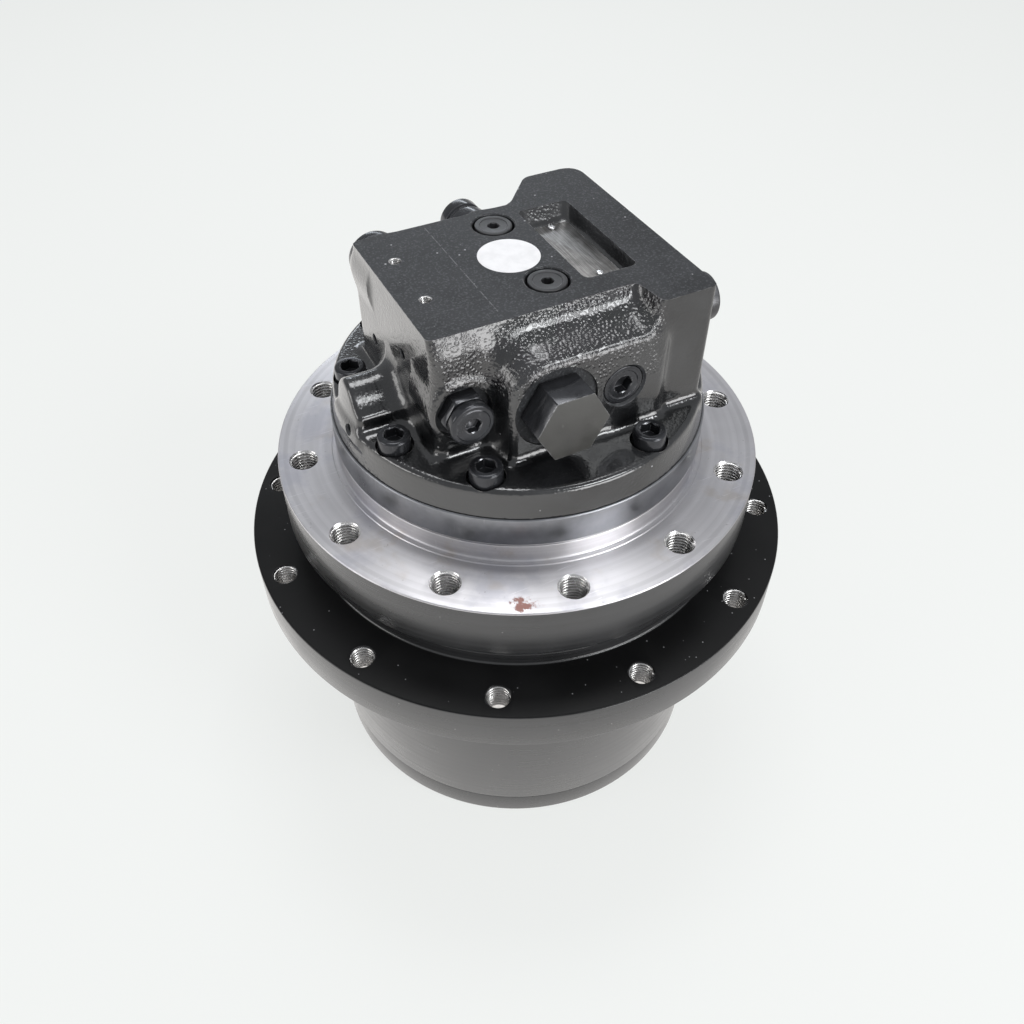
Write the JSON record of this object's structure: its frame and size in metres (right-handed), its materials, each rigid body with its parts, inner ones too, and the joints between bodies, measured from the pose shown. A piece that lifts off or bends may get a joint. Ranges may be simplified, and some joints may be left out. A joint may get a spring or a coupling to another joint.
{
  "type": "excavator final drive",
  "caption": "Excavator track drive: a piston motor with a valve head and frame flange, and a planetary hub with a sprocket flange that turns around it.",
  "frame": {"origin": "centre of the end cover's outer face, on the axis the hub turns about, at the bottom of the part", "axes": "+Z along the hub's axis, from the end cover up to the motor's valve head; +X towards the head's wing, away from the gallery ridge; -Y towards the face with the large hexagon plug"},
  "size_m": [0.343, 0.343, 0.362],
  "materials": {
    "black_paint": "gloss",
    "black_steel": "satin",
    "dark_steel": "satin",
    "gear_steel": "satin",
    "bright_steel": "ground",
    "bronze": "satin",
    "aluminium": "satin",
    "rubber": "matte"
  },
  "bodies": {
    "motor": {"motor_casing": "black_paint", "rear_cover": "black_paint", "cap_screw_1": "black_steel", "cap_screw_2": "black_steel", "cap_screw_3": "black_steel", "cap_screw_4": "black_steel", "cap_screw_5": "black_steel", "cap_screw_6": "black_steel", "cap_screw_7": "black_steel", "cap_screw_8": "black_steel", "counterbalance_plug": "black_steel", "relief_valve_body": "black_steel", "relief_valve_cap": "black_steel", "front_port_plug": "black_steel", "top_port_plug_1": "black_steel", "top_port_plug_2": "black_steel", "side_plug": "dark_steel", "spool_cap": "black_steel", "brake_port_fitting": "black_steel", "nameplate": "aluminium", "lower_bearing_inner_ring": "bright_steel", "upper_bearing_inner_ring": "bright_steel", "bearing_nut": "dark_steel", "upper_seal_ring": "bright_steel", "upper_seal_rubber": "rubber", "front_bearing_outer_ring": "bright_steel", "rear_bearing_bush": "bronze", "shaft_seal": "rubber", "valve_plate": "bronze", "steel_plate": "bright_steel", "brake_spring": "dark_steel"},
    "hub": {"gear_hub": "black_paint", "end_cover": "black_paint", "ring_gear": "gear_steel", "oil_plug_1": "dark_steel", "oil_plug_2": "dark_steel", "lower_bearing_outer_ring": "bright_steel", "upper_bearing_outer_ring": "bright_steel", "lower_seal_ring": "bright_steel", "lower_seal_rubber": "rubber"},
    "main_rollers": {"lower_bearing_rollers": "bright_steel", "upper_bearing_rollers": "bright_steel"},
    "first_carrier": {"carrier": "gear_steel", "sun_gear_2": "gear_steel"},
    "shaft": {"drive_shaft": "bright_steel", "sun_gear_1": "gear_steel", "cylinder_block": "dark_steel", "piston_set": "bright_steel", "friction_disc": "bronze"},
    "shaft_rollers": {"front_bearing_rollers": "bright_steel"},
    "swash": {"swash_plate": "bright_steel"},
    "speed_piston": {"speed_piston": "bright_steel"},
    "brake_piston": {"brake_piston": "bright_steel"},
    "spool": {"counterbalance_spool": "bright_steel"},
    "planet_1a": {"planet_1a": "gear_steel"},
    "planet_2a": {"planet_2a": "gear_steel"},
    "planet_1b": {"planet_1b": "gear_steel"},
    "planet_2b": {"planet_2b": "gear_steel"},
    "planet_1c": {"planet_1c": "gear_steel"},
    "planet_2c": {"planet_2c": "gear_steel"}
  },
  "joints": [
    {"name": "hub_spin", "type": "hinge", "parent": "motor", "child": "hub", "pos_m": [0, 0, 0], "axis": [0, 0, 1], "continuous": true},
    {"name": "main_rollers_spin", "type": "hinge", "parent": "motor", "child": "main_rollers", "pos_m": [0, 0, 0], "axis": [0, 0, 1], "continuous": true},
    {"name": "first_carrier_spin", "type": "hinge", "parent": "motor", "child": "first_carrier", "pos_m": [0, 0, 0], "axis": [0, 0, 1], "continuous": true},
    {"name": "shaft_spin", "type": "hinge", "parent": "motor", "child": "shaft", "pos_m": [0, 0, 0], "axis": [0, 0, 1], "continuous": true},
    {"name": "shaft_rollers_spin", "type": "hinge", "parent": "motor", "child": "shaft_rollers", "pos_m": [0, 0, 0], "axis": [0, 0, 1], "continuous": true},
    {"name": "planet_1a_spin", "type": "hinge", "parent": "first_carrier", "child": "planet_1a", "pos_m": [0.06, 0, 0.026], "axis": [0, 0, 1], "continuous": true},
    {"name": "planet_1b_spin", "type": "hinge", "parent": "first_carrier", "child": "planet_1b", "pos_m": [-0.03, 0.05196, 0.026], "axis": [0, 0, 1], "continuous": true},
    {"name": "planet_1c_spin", "type": "hinge", "parent": "first_carrier", "child": "planet_1c", "pos_m": [-0.03, -0.05196, 0.026], "axis": [0, 0, 1], "continuous": true},
    {"name": "planet_2a_spin", "type": "hinge", "parent": "motor", "child": "planet_2a", "pos_m": [0.066, 0, 0.062], "axis": [0, 0, 1], "continuous": true},
    {"name": "planet_2b_spin", "type": "hinge", "parent": "motor", "child": "planet_2b", "pos_m": [-0.033, 0.05716, 0.062], "axis": [0, 0, 1], "continuous": true},
    {"name": "planet_2c_spin", "type": "hinge", "parent": "motor", "child": "planet_2c", "pos_m": [-0.033, -0.05716, 0.062], "axis": [0, 0, 1], "continuous": true},
    {"name": "swash_tilt", "type": "hinge", "parent": "motor", "child": "swash", "pos_m": [0, 0, 0.1324], "axis": [0, 1, 0], "range_deg": [0, 7], "stiffness_Nm_per_rad": 20},
    {"name": "speed_piston_slide", "type": "slide", "parent": "motor", "child": "speed_piston", "axis": [0, 0, 1], "range_m": [0, 0.0046]},
    {"name": "brake_release", "type": "slide", "parent": "motor", "child": "brake_piston", "axis": [0, 0, 1], "range_m": [0, 0.0015], "stiffness_N_per_m": 20000, "springref_m": -0.002, "deforming": ["brake_spring"]},
    {"name": "spool_slide", "type": "slide", "parent": "motor", "child": "spool", "axis": [0, 1, 0], "range_m": [-0.005, 0.005], "stiffness_N_per_m": 1000}
  ],
  "couplings": [
    {"joint": "main_rollers_spin", "follows": "hub_spin", "ratio": 0.53454},
    {"joint": "first_carrier_spin", "follows": "hub_spin", "ratio": -3.4},
    {"joint": "shaft_spin", "follows": "hub_spin", "ratio": -28.333},
    {"joint": "shaft_rollers_spin", "follows": "hub_spin", "ratio": -10.947},
    {"joint": "planet_1a_spin", "follows": "hub_spin", "ratio": 10.686},
    {"joint": "planet_1b_spin", "follows": "hub_spin", "ratio": 10.686},
    {"joint": "planet_1c_spin", "follows": "hub_spin", "ratio": 10.686},
    {"joint": "planet_2a_spin", "follows": "hub_spin", "ratio": 2.8333},
    {"joint": "planet_2b_spin", "follows": "hub_spin", "ratio": 2.8333},
    {"joint": "planet_2c_spin", "follows": "hub_spin", "ratio": 2.8333},
    {"joint": "speed_piston_slide", "follows": "swash_tilt", "m_per_rad": 0.037}
  ]
}
